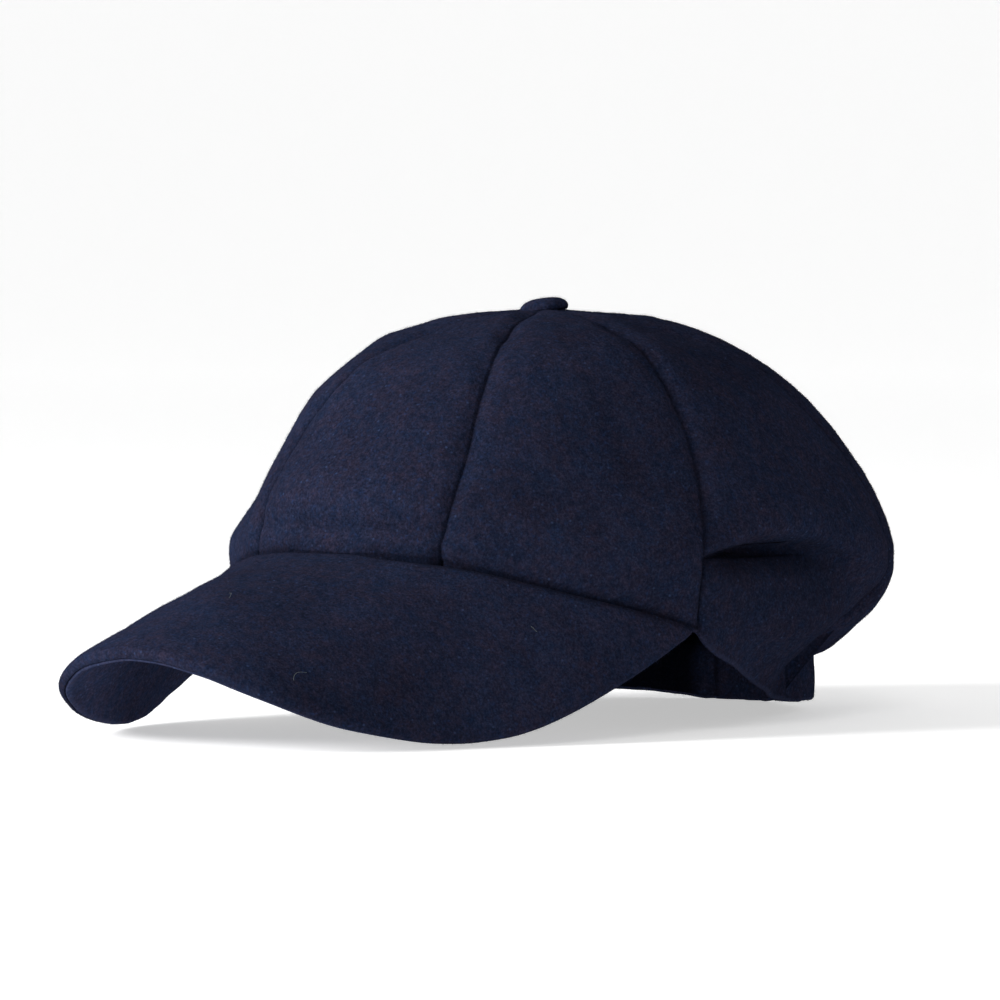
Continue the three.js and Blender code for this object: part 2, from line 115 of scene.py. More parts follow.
# How far the seams swing back round the crown, in degrees: on the dome, and at its widest ring.
SEAM_SWING = np.array([
    (0, 0, 0),
    (22.5, 2.8, 0),  # front seam
    (67.5, 4.3, 0.3),  # peak corner seam
    (112.5, 6.5, 6.0),  # side seam
    (157.5, 4.0, 3.0),  # back seam
    (180, 0, 0),
], float)
SWING_FULL_TO = 0.34  # the dome's swing is full down to this share of the way to the hem
SWING_GONE_AT = 0.95  # and none is left at this one

# Soft folds and hollows on both sides, each deepest at an azimuth and a height: the azimuth, how wide
# it is in degrees, the height, how tall it is, and its depth.
HOLLOWS = [
    (0, 24, 54, 3.2, 2.2),  # front tuck
    (0, 24, 64, 7, -1.9),  # front swell
    (48, 18, 69, 18, 4.2),  # front quarter hollow
    (48, 22, 100, 10, -1.8),  # front quarter shoulder
    (70, 80, 106.5, 3.5, 1.1),  # slope beside the button
    (56, 14, 46, 8, -2),  # front quarter swell
    (88, 15, 36, 5, 1.2),  # side belly hollow
    (91, 17, 26.5, 4.5, -1.4),  # side belly roll
    (114, 2.4, 10, 8, 3.8),  # tuck where the elastic starts
    (108, 4.5, 12, 7, -1),  # roll beside the tuck
]

# The pocket-like fold on each side: a lip, arched over its azimuths, over a fold and a soft hollow.
CREASE = {
    "start": 63,  # azimuths in degrees
    "deep": 74,
    "fading": 80,
    "end": 107,
    "crest": 80,
    "crest_height": 52.6,
    "sag_in_front": 0.030,  # how fast the lip falls away from its crest, in mm per square degree
    "sag_behind": 0.0165,
    "depth": 9.0,
    "edge": (-1.4, 2.4),  # how far below the lip the fold starts, and where it is deep
    "tall_at_start": 4.2,
    "tall": 8.3,
    "overhang": 1.4,  # how far the lip hangs down over the fold
    "hangs_above": 4.2,  # the overhang's reach above the lip's edge and below it
    "hangs_below": 0.9,
}
CREASE_RUN = {"full": 84, "fading": 88, "end": 138}  # azimuths of the lip's roll and of the hollow
CREASE_LIP = {"above": 6.0, "tall": 7.0, "height": 1.8}
CREASE_HOLLOW = {"below": 8.0, "tall": 9.0, "depth": 3.0, "edge": (-2, 6)}
CORNER_DROP = {"depth": 3.2, "reach": 4.5}  # how the hem falls away behind the peak's corner

# The elastic's gathers: over which azimuths they set in, and how far up the belly their folds reach.
GATHER = {
    "start": 98,
    "full": 114,
    "ruffles": 20,
    "depth": 1.3,
    "reach": 26,
    "fine_reach": 0.6,  # shares of that reach
    "broad_reach": 1.3,
    "fine": 0.85,  # how strong the small folds are
    "broad_held": 0.5,  # how much the elastic holds the broad ones back at the hem
    "inside": 0.3,  # the share of the folds that shows on the inside
}
# The gathers' folds: how deep, how close, how much they wander and where they start. A swell is how much
# their depth varies, how fast round the hem, and from where.
RUFFLES = {
    "fine": {"size": 1, "rate": 1, "wander": 1, "start": 0, "swell": (0.4, 0.43, 0.4)},
    "finer": {"size": 0.4, "rate": 1.87, "wander": 2.1, "start": 1.0, "swell": (0.6, 0.29, 2.0)},
    "broad": {"size": 1.1, "rate": 0.43, "wander": 1, "start": 0.7, "swell": (0, 0, 0)},
}
RUFFLE_WANDER = [(0.9, 0.21, 1.3), (0.5, 0.57, 0.2)]  # waves, given as a swell is
BAND_JOIN = {"azimuth": -173.2, "depth": 0.6, "wide": 1.3, "top": 16.0, "fade": 2}  # the hem band's join

# Pressed-in profiles, each a sum of soft bumps: how deep, and over what distance from the line.
SEAM_PROFILE = [(0.95, 2.6), (0.45, 0.5), (0.4, 7.0)]
SEWN_HEM_PROFILE = [(0.7, 1.3), (0.5, 4.0)]
PEAK_ROOT_PROFILE = [(0.8, 1.4)]
SEWN_HEM_FADE = 6  # degrees in front of the peak's corner over which the sewn hem's profile fades
# Soft unevenness of the cloth: how much, how long its waves are, and a seed.
CROWN_UNEVENNESS = [(0.45, 46, 3), (0.12, 15, 5), (0.05, 6, 8)]
PEAK_UNEVENNESS = [(0.18, 30, 11), (0.07, 11, 12)]
SEAM_PUCKER = [(0.12, 8, 21)]
SEAM_PUCKER_REACH = 4

# Painted shade along a line, where shade gathers in a seam or along the sewn hem: how much, and over what
# distance from it.
SEAM_SHADE = [(0.34, 0.55), (0.10, 1.8)]
SEWN_HEM_SHADE = [(0.42, 0.8), (0.10, 2.2)]
PEAK_ROOT_SHADE_SPREAD = 1.6  # how much wider the sewn hem's shade is on the peak
# Painted shade in the crease's fold and in the hollow under it, how much less painted shade the seams get
# in the gathers, and painted shade inside the crown where little light reaches.
FOLD_SHADE = {"amount": 0.55, "edge": (-1.2, 1.8), "below": 5, "tall": 7.0}
HOLLOW_SHADE = {"amount": 0.15, "start": (64, 74), "end": (90, 112), "below": 19, "tall": 12}
GATHERED_SEAMS = {"plainer": 0.7, "heights": (18, 42)}
INSIDE_SHADE = {"heights": (8, 40), "sides": 0.86, "from_back": (9, 16), "join": 0.6, "join_wide": 0.9}
INSIDE_SHADE_MOST = 0.9

# The panels' turned hem: its rows' angles, and how far it is lifted or goes into the peak.
HEM_TURN = (30, 60, 90, 120, 150)
HEM_LIFT_GATHERED = 0.9
HEM_SUNK_SEWN = 1.2
# Painted highlight and wear on the turned edge where the hem is free of the peak.
HEM_CORNER = 3  # degrees from the peak's corner over which the hem changes from sewn to free
HEM_WEAR_AND_HIGHLIGHT = 0.3
HEM_NAP_ROWS = 4  # how far round the hem the nap goes

# The panels' nodes, and the azimuths of their middles.
PANEL_TABLE = [
    ("panel_front", 0),
    ("panel_front_left", 45),
    ("panel_front_right", -45),
    ("panel_side_left", 90),
    ("panel_side_right", -90),
    ("panel_back_left", 135),
    ("panel_back_right", -135),
    ("panel_back", 180),
]
PANEL_COLUMNS = 60
PANEL_CROWDING = 0.8  # how much the columns crowd towards the seams
# A panel's rows, from where to where and how many: those near the button by their share of the widest
# ring, and those further down by their share of the way to the hem.
BUTTON_ROWS = (APEX_HOLE_SHARE, 0.6, 36)
UPPER_ROWS = (0.22, 0.52, 28)
LOWER_ROWS = (0.52, 1.0, 92)

PEAK_STATIONS = 150
PEAK_STATION_SPREAD = 0.4 * math.pi  # how much the stations crowd towards the corners
PEAK_UNDER_CUT = 5  # stations that the under cover leaves out at each corner
# The covers' rows, from where to where and how many: shares of the way out on their faces and inside,
# and degrees round the rim.
TOP_FACE = (0, 1, 60)
TOP_RIM = (12, PEAK_SEAM_ANGLE - 12, 10)
TOP_INSIDE = (0.99, 0, 24)
UNDER_INSIDE = (0, 0.97, 24)
UNDER_RIM = (PEAK_SEAM_ANGLE + 16, 172, 4)
UNDER_FACE = (0.995, 0, 50)
TOP_TUCK_DEPTH = NAP + 0.2
# Painted shade in the top cover's tuck under the crown and along its rim, and inside the under cover.
TOP_TUCK_PAINTED_SHADE = 0.6
TOP_RIM_PAINTED_SHADE = 0.1
UNDER_INSIDE_DEPTH = CLOTH + 0.15
UNDER_INSIDE_PAINTED_SHADE = 0.9
# Painted highlight and wear round the under cover's rim.
UNDER_RIM_WEAR_AND_HIGHLIGHT = 0.15
# The rows beside the seam round the rim: degrees past the seam, how far out of the plain rim, how much
# painted shade they get in the seam's groove, and how much lighter they are for wear and as a painted
# highlight.
TOP_SEAM_ROWS = [
    (-4, -NAP - 0.06, 0.35, 0),
    (0, -NAP - 0.3, 0.75, 0),
    (0, -PEAK_SEAM_DEPTH, 0.75, 0),
]
UNDER_SEAM_ROWS = [
    (3, -PEAK_SEAM_DEPTH, 0.8, 0),
    (3, -NAP - 0.3, 0.6, 0),
    (8, -NAP, 0, 0.35),
]

BUTTON_RADIUS = 6.5
BUTTON_HEIGHT = 2.8
BUTTON_SEAT = -0.3  # how far its edge stands above the crown's top
BUTTON_LEAN = 0.12  # the slope by which its top rises towards the photograph's right
BUTTON_SIDE_POWER = 2.8  # exponents of the dome's profile
BUTTON_TOP_POWER = 0.52
BUTTON_TIP_SHARE = 0.02
BUTTON_UNDER = [(6.45, -0.4), (6.2, -0.8), (5.4, -1.0), (3.6, -0.9)]  # radius and height of each ring
BUTTON_SHANK = [(1.9, -1.0), (1.9, -2.4), (1.2, -3.4), (0.05, -3.4)]
BUTTON_PUCKER = {"size": 0.010, "folds": 17, "start": 0.6, "outside": 4, "under": 1.2}
BUTTON_DOME_RINGS = 26
BUTTON_SPOKES = 96
# Painted shade under the button's edge and on its shank.
BUTTON_UNDER_PAINTED_SHADE = 0.7
# Painted highlight and wear on the button's nap.
BUTTON_NAP_WEAR_AND_HIGHLIGHT = 0.2

# The raised nap: fibres for each square millimetre, their lengths and thickness, how they lie, and at most
# how much lighter they are made for wear and as a painted highlight.
FIBRE = {"length": (0.5, 1.5), "thickness": 0.075, "rise": (0.12, 0.75), "sunk": 0.1, "wear_and_highlight": 0.7}
FIBRE_POINTS = 4
FIBRE_FACES = np.array([(0, 1, 2), (0, 3, 1), (1, 3, 2), (2, 3, 0)])
FIBRES_ON_CROWN = 2.1
FIBRES_ON_UNDER_COVER = 0.9
FIBRES_ON_BUTTON = 2.6
FIBRE_FREE_HEIGHT = 0.7  # no nap is raised this close to the table
FIBRE_LOWEST = 0.05
NAP_SEEDS = {"panels": 61, "peak_top": 31, "peak_under": 41, "button": 51}
# Seed shift for the fibres' random painted highlight and wear.
WEAR_AND_HIGHLIGHT_SEED_SHIFT = 100

# Loose light fibres that lie on the peak: where they start, across and out, their heading in degrees,
# their length, and how far they curl.
LINT_ON_PEAK = [
    (0.28, 0.86, 150, 5.5, -90),
    (0.02, 0.55, 20, 4.0, 70),
    (-0.30, 0.40, 80, 3.2, -40),
    (0.62, 0.35, 200, 3.6, 60),
]
LINT_THICKNESS = 0.08
LINT_POINTS = 14
LINT_SIDES = 5
LINT_LIFT = 0.25  # how high its ends lie over the cloth, and how much higher its middle
LINT_ARCH = 0.5
PEAK_SCALE = (120, 75)  # about how many mm one unit across and one unit out are on the peak

WOOL = np.array((0.0117, 0.0144, 0.0310))
# The peak's and the under cover's wool is the same wool painted lighter: painted light for how much light
# reaches them.
PEAK_WOOL_PAINTED_LIGHTER = 1.08
UNDER_WOOL_PAINTED_LIGHTER = 1.6
# The wool's heather, in shares of its base colour. A noise has a scale, a detail and a roughness.
NOISE_SHIFT = (0.37, 0.11, 0.23)  # how far a material's seed moves its noises
GRAIN_NOISE = (1500, 3, 0.7)
GRAIN_STOPS = [(0.36, 0.66), (0.47, 0.90), (0.55, 1.10), (0.66, 1.54)]
TINTS = [  # a noise, and the tints where it is low and high
    ((430, 3, 0.6), (1.24, 1.08, 1.01), (0.80, 0.93, 0.99)),
    ((640, 2, 0.5), (1.17, 1.13, 1.11), (0.85, 0.88, 0.90)),
    ((330, 2, 0.5), (1.12, 1.05, 1.03), (0.90, 0.96, 0.98)),
    ((110, 2, 0.5), (1.13, 0.99, 0.95), (0.89, 1.01, 1.06)),
    ((28, 3, 0.55), (0.88, 0.88, 0.88), (1.12, 1.12, 1.12)),
]
TINT_RANGE = (0.36, 0.64)
DYED_FIBRES = [
    {"noise": (1150, 2, 0.5), "range": (0.55, 0.75), "most": 0.6, "tint": (1.75, 1.14, 1.06)},  # warm
    {"noise": (900, 2, 0.5), "range": (0.58, 0.76), "most": 0.7, "tint": (1.10, 1.60, 2.05)},  # cool
]
# Small light flecks: how big they are in their cells, and in which cells they lie.
FLECKS = {"scale": 480, "near": (0.08, 0.22), "chosen": (0.68, 0.74), "most": 0.8, "tint": (2.2, 2.7, 2.8)}
# Painted highlight and wear: the lighter tint that edges, rims and some fibres go towards.
WEAR_AND_HIGHLIGHT_TINT = (2.0, 2.0, 1.9)
# Painted shade: the dark share of the base colour that shaded points go towards.
PAINTED_SHADE_TINT = 0.05
FELT_NOISES = [(1400, 4, 0.7), (320, 3, 0.6)]
FELT_STRENGTH = 0.45
FELT_HEIGHT = 0.0006  # in metres
SHEEN_WEIGHT = 0.008
SHEEN_ROUGHNESS = 0.6
SHEEN_TINT = (0.55, 0.6, 0.85, 1)
LINT_COLOUR = (0.11, 0.13, 0.13)
LINT_ROUGHNESS = 0.9
LINT_NOISE_SCALE = 900
LINT_SHADES = (0.7, 1.3)
SHARP_ANGLE = 50.0  # faces that meet at more degrees than this show an edge

# The frame's origin is the middle of the part's box, so the cap's own Y axis is shifted in it.
button_low, button_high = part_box("button")
SHIFT_Y = 1000 * (button_low.y + button_high.y) / 2 - APEX_Y

# The photograph's camera: its azimuth towards the wearer's left, its height and its distance.
VIEW = {"azimuth": 39, "elevation": 2.5, "distance": 2400, "target_z": 62.7}
PIXELS = 1000
PIXELS_PER_MM = 3.7
AXIS_PIXEL = (565, 483)  # where the point on the cap's own axis at target_z falls in the picture
SENSOR_WIDTH = 36
FARTHEST_SEEN = 50  # in metres

# The light table and the lights, in metres and watts.
TABLE = {"front": -8.0, "reach": 3.0, "curve": 1.2, "wall": 4.0, "half_width": 9.0}
TABLE_CURVE_ROWS = 18
TABLE_CURVE_START = 5  # in degrees
TABLE_TONE = 0.8
TABLE_ROUGHNESS = 0.9
TABLE_GLOW = 0.5
ROOM_LIGHT = 0.28
LIGHTS = [
    {"name": "key", "location": (-0.95, -1.5, 0.72), "size": 0.7, "watts": 54},
    {"name": "over", "location": (0.9, -1.1, 1.5), "size": 0.8, "watts": 6.5},
]
LIGHTS_AIM = (0, 0, 0.05)


def in_frame(points):
    """Millimetres in the cap's own axes to metres in the frame."""
    return (np.asarray(points, float) + (0, SHIFT_Y, 0)) / 1000


def smooth(low, high, value):
    t = np.clip((value - low) / (high - low), 0, 1)
    return t * t * (3 - 2 * t)


def lerp(a, b, t):
    return a + (b - a) * t


def bump(value, width):
    """A soft bump of height 1 at value 0."""
    return np.exp(-((value / width) ** 2))


def profile(rows, distance):
    """The sum of a table's soft bumps at a distance from their line."""
    return sum(depth * bump(distance, width) for depth, width in rows)


def unit(v):
    return v / np.maximum(np.linalg.norm(v, axis=-1, keepdims=True), TINY)


def soft_noise(points, wavelength, seed):
    """A smooth random field of about unit size: a few plane waves in seeded directions."""
    rng = np.random.default_rng(seed)
    total = np.zeros(points.shape[:-1])
    waves = 7
    for _ in range(waves):
        direction = unit(rng.normal(size=3))
        length = wavelength * rng.uniform(0.7, 1.5)
        total += np.sin(points @ direction * (2 * np.pi / length) + rng.uniform(0, 2 * np.pi))
    return total / math.sqrt(waves / 2)


def unevenness(rows, points):
    return sum(amount * soft_noise(points, wavelength, seed) for amount, wavelength, seed in rows)


def through_rows(rows, at, before, after):
    """A smooth Catmull-Rom curve through rows, at fractional row numbers, with one more row at each end."""
    table = np.vstack([before, rows, after])
    at = np.clip(at, 0, len(rows) - 1)
    i = np.minimum(np.floor(at).astype(int), len(rows) - 2)
    f = (at - i)[..., None]
    p, q, r, s = table[i], table[i + 1], table[i + 2], table[i + 3]
    return q + 0.5 * f * (r - p + f * (2 * p - 5 * q + 4 * r - s + f * (3 * (q - r) + s - p)))


def mirrored(row):
    return row * (-1, 1, 1)


def wrapped(azimuth):
    """Azimuths from -180 to 180 degrees: 0 at the front, positive towards the wearer's left."""
    return (azimuth + 180) % 360 - 180


def hem_point(azimuth):
    a = wrapped(azimuth)
    at = np.abs(a) / 180 * (len(HEM) - 1)
    p = through_rows(HEM, at, mirrored(HEM[1]), mirrored(HEM[-2]))
    p[..., 0] *= np.where(a < 0, -1, 1)
    behind = np.maximum(0, np.abs(a) - PEAK_CORNER_AZIMUTH) / CORNER_DROP["reach"]
    p[..., 2] = np.maximum(p[..., 2] - CORNER_DROP["depth"] * behind * np.exp(1 - behind), 0)
    return p


def from_seam(azimuth):
    """How far an azimuth lies from the nearest seam, in degrees."""
    in_panel = (azimuth + PANEL_SPAN / 2) % PANEL_SPAN
    return np.minimum(in_panel, PANEL_SPAN - in_panel)


def swung(azimuth, t):
    """The azimuth at which a panel's line really runs: seams swing back a little on the way up."""
    a = wrapped(azimuth)
    on_dome = np.interp(np.abs(a), SEAM_SWING[:, 0], SEAM_SWING[:, 1])
    at_ring = np.interp(np.abs(a), SEAM_SWING[:, 0], SEAM_SWING[:, 2])
    high = 1 - smooth(SWING_FULL_TO, DOME_SHARE, t)
    low = 1 - smooth(DOME_SHARE, SWING_GONE_AT, t)
    return a + np.sign(a) * lerp(at_ring, on_dome, high) * low


def widest_point(azimuth, t):
    angle = np.radians(swung(azimuth, t))
    c, s = np.cos(angle), np.sin(angle)
    middle = np.sin(from_seam(azimuth) / PANEL_SPAN * np.pi) ** 2
    r = 1 - PANEL_FLATNESS * middle * lerp(1, FLATNESS_KEPT_IN_FRONT, smooth(*FLATNESS_FADES, c))
    reach = np.where(c > 0, CROWN_FRONT_REACH, CROWN_BACK_REACH)
    z = WIDEST_HEIGHT + WIDEST_FRONT_LIFT * np.maximum(0, c) ** 2
    return np.stack([CROWN_HALF_WIDTH * s * r, -reach * c * r, z], -1)


def gathered(azimuth):
    """How much of the elastic's gathering an azimuth has, from 0 to 1."""
    return smooth(GATHER["start"], GATHER["full"], np.abs(wrapped(azimuth)))


def dome_point(ring, t):
    angle = np.clip(t, 0, 1) * np.pi / 2
    out = np.sin(angle) ** (2 / DOME_SIDE_POWER)
    up = np.maximum(np.cos(angle), 0) ** (2 / DOME_TOP_POWER)
    y = lerp(APEX_Y, ring[..., 1], out)
    z = lerp(ring[..., 2], CROWN_TOP, up)
    return np.stack([ring[..., 0] * out, y, z], -1)


def belly_point(ring, neck, pull, t):
    """The belly's curve, from the widest ring in and down to the top of the hem band."""
    drop = ring[..., 2] - neck[..., 2]
    over = ring - neck
    over[..., 2] = 0
    under = ring.copy()
    under[..., 2] -= BELLY_FALL * drop
    beside = neck + BELLY_REACH * over
    beside[..., 2] += lerp(BELLY_RISE, BELLY_RISE_GATHERED, pull) * drop
    u = np.clip(t, 0, 1)[..., None]
    return (1 - u) ** 3 * ring + 3 * u * (1 - u) ** 2 * under + 3 * u * u * (1 - u) * beside + u ** 3 * neck


def plain_crown(azimuth, t):
    """The crown without its seams and folds: t runs from 0 at the apex to 1 at the hem."""
    ring = widest_point(azimuth, t)
    hem = hem_point(azimuth)
    pull = gathered(azimuth)
    band_start = 1 - BAND_SHARE * pull
    neck = hem.copy()
    neck[..., 2] += BAND_HEIGHT * pull
    down_band = np.clip((t - band_start) / np.maximum(1 - band_start, TINY), 0, 1)
    band = hem.copy()
    band[..., 2] += BAND_HEIGHT * pull * (1 - down_band)
    dome = dome_point(ring, t / DOME_SHARE)
    belly = belly_point(ring, neck, pull, (t - DOME_SHARE) / (band_start - DOME_SHARE))
    lower = np.where((t <= band_start)[..., None], belly, band)
    return np.where((t < DOME_SHARE)[..., None], dome, lower)


def crown_normal(azimuth, t):
    turn = 0.5  # degrees
    step = 0.006
    nearest_apex = 0.004
    across = plain_crown(azimuth + turn, t) - plain_crown(azimuth - turn, t)
    lower = plain_crown(azimuth, np.minimum(1, t + step))
    upper = plain_crown(azimuth, np.maximum(nearest_apex, t - step))
    return unit(-np.cross(across, lower - upper))


def below_lip(side, z):
    sag = np.where(side < CREASE["crest"], CREASE["sag_in_front"], CREASE["sag_behind"])
    return CREASE["crest_height"] - sag * (side - CREASE["crest"]) ** 2 - z


def along_crease(side):
    fades = 1 - smooth(CREASE["fading"], CREASE["end"], side)
    return (side >= PEAK_CORNER_AZIMUTH) * smooth(CREASE["start"], CREASE["deep"], side) * fades


def crease_relief(side, z):
    onset = smooth(PEAK_CORNER_AZIMUTH, CREASE_RUN["full"], side)
    wide = onset * (1 - smooth(CREASE_RUN["fading"], CREASE_RUN["end"], side))
    below = below_lip(side, z)
    drop = np.maximum(0, below)
    tall = lerp(CREASE["tall_at_start"], CREASE["tall"], smooth(PEAK_CORNER_AZIMUTH, CREASE["crest"], side))
    fold = CREASE["depth"] * smooth(*CREASE["edge"], below) * bump(drop, tall)
    hollow = CREASE_HOLLOW["depth"] * bump(drop - CREASE_HOLLOW["below"], CREASE_HOLLOW["tall"])
    hollow = hollow * smooth(*CREASE_HOLLOW["edge"], below)
    lip = CREASE_LIP["height"] * bump(below + CREASE_LIP["above"], CREASE_LIP["tall"])
    return wide * (lip - hollow) - along_crease(side) * fold


def overhang(azimuth, z):
    """How far the crease's lip hangs down over its fold."""
    side = np.abs(wrapped(azimuth))
    below = below_lip(side, z)
    reach = np.where(below < 0, CREASE["hangs_above"], CREASE["hangs_below"])
    return CREASE["overhang"] * along_crease(side) * bump(below, reach)


def wave(row, azimuth):
    size, rate, start = row
    return size * np.sin(azimuth * rate + start)


def ruffle(kind, azimuth, phase, wander):
    """The height of one kind of the gathers' folds."""
    row = RUFFLES[kind]
    folds = row["size"] * np.cos(row["rate"] * phase + row["wander"] * wander + row["start"])
    return folds * (1 + wave(row["swell"], azimuth))


def ruffles(azimuth, above):
    """The elastic's ruffles: uneven small folds at the hem that run out in broad ones up the belly."""
    a = wrapped(azimuth)
    wander = sum(wave(row, a) for row in RUFFLE_WANDER)
    phase = (np.abs(a) - GATHER["start"]) / (180 - GATHER["start"]) * GATHER["ruffles"] * np.pi
    small = ruffle("fine", a, phase, wander) + ruffle("finer", a, phase, wander)
    broad = ruffle("broad", a, phase, wander)
    near_hem = bump(above, GATHER["fine_reach"] * GATHER["reach"])
    far_up = bump(above, GATHER["broad_reach"] * GATHER["reach"])
    folds = GATHER["fine"] * small * near_hem + broad * (far_up - GATHER["broad_held"] * near_hem)
    return GATHER["depth"] * gathered(azimuth) * folds


def relief(azimuth, p):
    """Signed offset of the cloth from the plain crown: seams pressed in, folds and unevenness."""
    side = np.abs(wrapped(azimuth))
    from_apex = np.hypot(p[..., 0], p[..., 1] - APEX_Y)
    seam = np.radians(from_seam(azimuth)) * from_apex
    above = p[..., 2] - hem_point(azimuth)[..., 2]
    sewn = 1 - smooth(PEAK_CORNER_AZIMUTH - SEWN_HEM_FADE, PEAK_CORNER_AZIMUTH, side)
    offset = -profile(SEAM_PROFILE, seam) - sewn * profile(SEWN_HEM_PROFILE, above)
    offset = offset + unevenness(SEAM_PUCKER, p) * bump(seam, SEAM_PUCKER_REACH)
    for middle, wide, height, tall, depth in HOLLOWS:
        offset = offset - depth * bump(side - middle, wide) * bump(p[..., 2] - height, tall)
    offset = offset + crease_relief(side, p[..., 2]) + unevenness(CROWN_UNEVENNESS, p)
    return offset * smooth(APEX_FLAT_RADIUS, APEX_FREE_RADIUS, from_apex)


def crown_surface(azimuth, t, depth):
    """Points of a crown panel's cloth at a depth below its outer face."""
    p = plain_crown(azimuth, t)
    normal = crown_normal(azimuth, t)
    above = p[..., 2] - hem_point(azimuth)[..., 2]
    inside = depth == CLOTH
    ruffled = ruffles(azimuth, above) * (GATHER["inside"] if inside else 1)
    moved = p + normal * (relief(azimuth, p) + ruffled - depth)[..., None]
    moved[..., 2] -= overhang(azimuth, p[..., 2])
    if inside:
        from_join = np.radians(wrapped(azimuth - BAND_JOIN["azimuth"])) * np.hypot(p[..., 0], p[..., 1])
        low = 1 - smooth(BAND_JOIN["top"] - BAND_JOIN["fade"], BAND_JOIN["top"], above)
        ridge = BAND_JOIN["depth"] * low * bump(from_join, BAND_JOIN["wide"])
        moved = moved + normal * ridge[..., None]
    return moved


def crown_shade(azimuth, p):
    """How much painted shade a point of the crown's outer face gets in a seam, at the sewn hem, in the
    crease's fold or in the hollow under it, from 0 to 1.
    """
    side = np.abs(wrapped(azimuth))
    seam = np.radians(from_seam(azimuth)) * np.hypot(p[..., 0], p[..., 1] - APEX_Y)
    above = p[..., 2] - hem_point(azimuth)[..., 2]
    below = below_lip(side, p[..., 2])
    sewn = side < PEAK_CORNER_AZIMUTH
    fold, hollow, seams = FOLD_SHADE, HOLLOW_SHADE, GATHERED_SEAMS
    in_fold = smooth(*fold["edge"], below) * bump(np.maximum(0, below - fold["below"]), fold["tall"])
    beside_fold = smooth(*hollow["start"], side) * (1 - smooth(*hollow["end"], side))
    in_hollow = beside_fold * bump(below - hollow["below"], hollow["tall"])
    in_gathers = gathered(azimuth) * (1 - smooth(*seams["heights"], p[..., 2]))
    seam_shade = profile(SEAM_SHADE, seam) * (1 - seams["plainer"] * in_gathers)
    fold_shade = fold["amount"] * along_crease(side) * in_fold + hollow["amount"] * in_hollow
    return seam_shade + sewn * profile(SEWN_HEM_SHADE, above) + fold_shade


def inside_shade(azimuth, p):
    """How little light reaches a point inside the crown, from 0 to 1: least high up and at the sides."""
    from_back = 180 - np.abs(wrapped(azimuth))
    high = smooth(*INSIDE_SHADE["heights"], p[..., 2])
    beside = smooth(*INSIDE_SHADE["from_back"], from_back)
    join = bump(wrapped(azimuth - BAND_JOIN["azimuth"]), INSIDE_SHADE["join_wide"])
    shade = high + INSIDE_SHADE["sides"] * beside + INSIDE_SHADE["join"] * join
    return np.clip(shade, 0, INSIDE_SHADE_MOST)


def added(name, data):
    """A new object in the scene."""
    thing = bpy.data.objects.new(name, data)
    bpy.context.scene.collection.objects.link(thing)
    return thing


def mesh_object(name, points, faces, material, node, shades):
    """A smooth-shaded mesh in the frame, riding on the cap and standing for a CAD node. shades holds the
    points' values for the material: how much painted shade they get in seams, folds and recesses, and
    how much lighter they are for wear and as a painted highlight."""
    mesh = bpy.data.meshes.new(name)
    mesh.from_pydata(in_frame(points).tolist(), [], faces)
    mesh.polygons.foreach_set("use_smooth", [True] * len(mesh.polygons))
    mesh.set_sharp_from_angle(angle=math.radians(SHARP_ANGLE))
    mesh.materials.append(material)
    for label, values in shades.items():
        attribute = mesh.attributes.new(label, "FLOAT", "POINT")
        attribute.data.foreach_set("value", np.clip(values, 0, 1).astype(np.float32).ravel())
    piece = added(name, mesh)
    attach(piece, "root")
    if node:
        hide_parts(node)


def loft_faces(stations, count):
    """Quads of a closed tube of stations, each a loop of count points, with both ends closed."""
    faces = []
    for i in range(stations - 1):
        a, b = i * count, (i + 1) * count
        for j in range(count):
            k = (j + 1) % count
            faces.append((a + j, a + k, b + k, b + j))
    for base, turned in ((0, True), ((stations - 1) * count, False)):
        for j in range(count // 2):
            corners = [base + j, base + j + 1, base + count - 2 - j, base + count - 1 - j]
            ring = list(dict.fromkeys(corners))
            if len(ring) > 2:
                faces.append(tuple(reversed(ring)) if turned else tuple(ring))
    return faces


def raised_fibres(grid, painted_shade, density, seed):
    """The nap on a grid of quads: each fibre is a thin closed spike that leans over the cloth. Returns its
    points, its faces and the painted shade that each takes from the cloth it stands on."""
    rng = np.random.default_rng(seed)
    a, b, c, d = grid[:-1, :-1], grid[1:, :-1], grid[1:, 1:], grid[:-1, 1:]
    outward = -np.cross(c - a, d - b)
    area = np.linalg.norm(outward, axis=-1) / 2
    cells = rng.choice(area.size, int(density * area.sum()), p=(area / area.sum()).ravel())
    u, v = rng.random((2, len(cells), 1))
    pa, pb, pc, pd = (corner.reshape(-1, 3)[cells] for corner in (a, b, c, d))
    root = (1 - v) * ((1 - u) * pa + u * pb) + v * ((1 - u) * pd + u * pc)
    normal = unit(outward.reshape(-1, 3)[cells])
    shade = painted_shade[:-1, :-1].ravel()[cells]
    high = root[:, 2] > FIBRE_FREE_HEIGHT
    root, normal, shade = root[high], normal[high], shade[high]
    count = len(root)
    lying = rng.normal(size=(count, 3))
    lying = unit(lying - normal * (lying * normal).sum(1, keepdims=True))
    direction = unit(lying + normal * rng.uniform(*FIBRE["rise"], (count, 1)))
    length = rng.uniform(*FIBRE["length"], (count, 1))
    across = unit(np.cross(direction, normal))
    up = np.cross(across, direction)
    base = root - normal * FIBRE["sunk"]
    r = FIBRE["thickness"] / 2
    spike = [base + r * across, base - r * across, base + r * up, base + direction * length]
    points = np.stack(spike, 1).reshape(-1, 3)
    points[:, 2] = np.maximum(points[:, 2], FIBRE_LOWEST)
    start = FIBRE_POINTS * np.arange(count)[:, None, None]
    faces = (start + FIBRE_FACES).reshape(-1, 3)
    return points, faces, np.repeat(shade, FIBRE_POINTS)


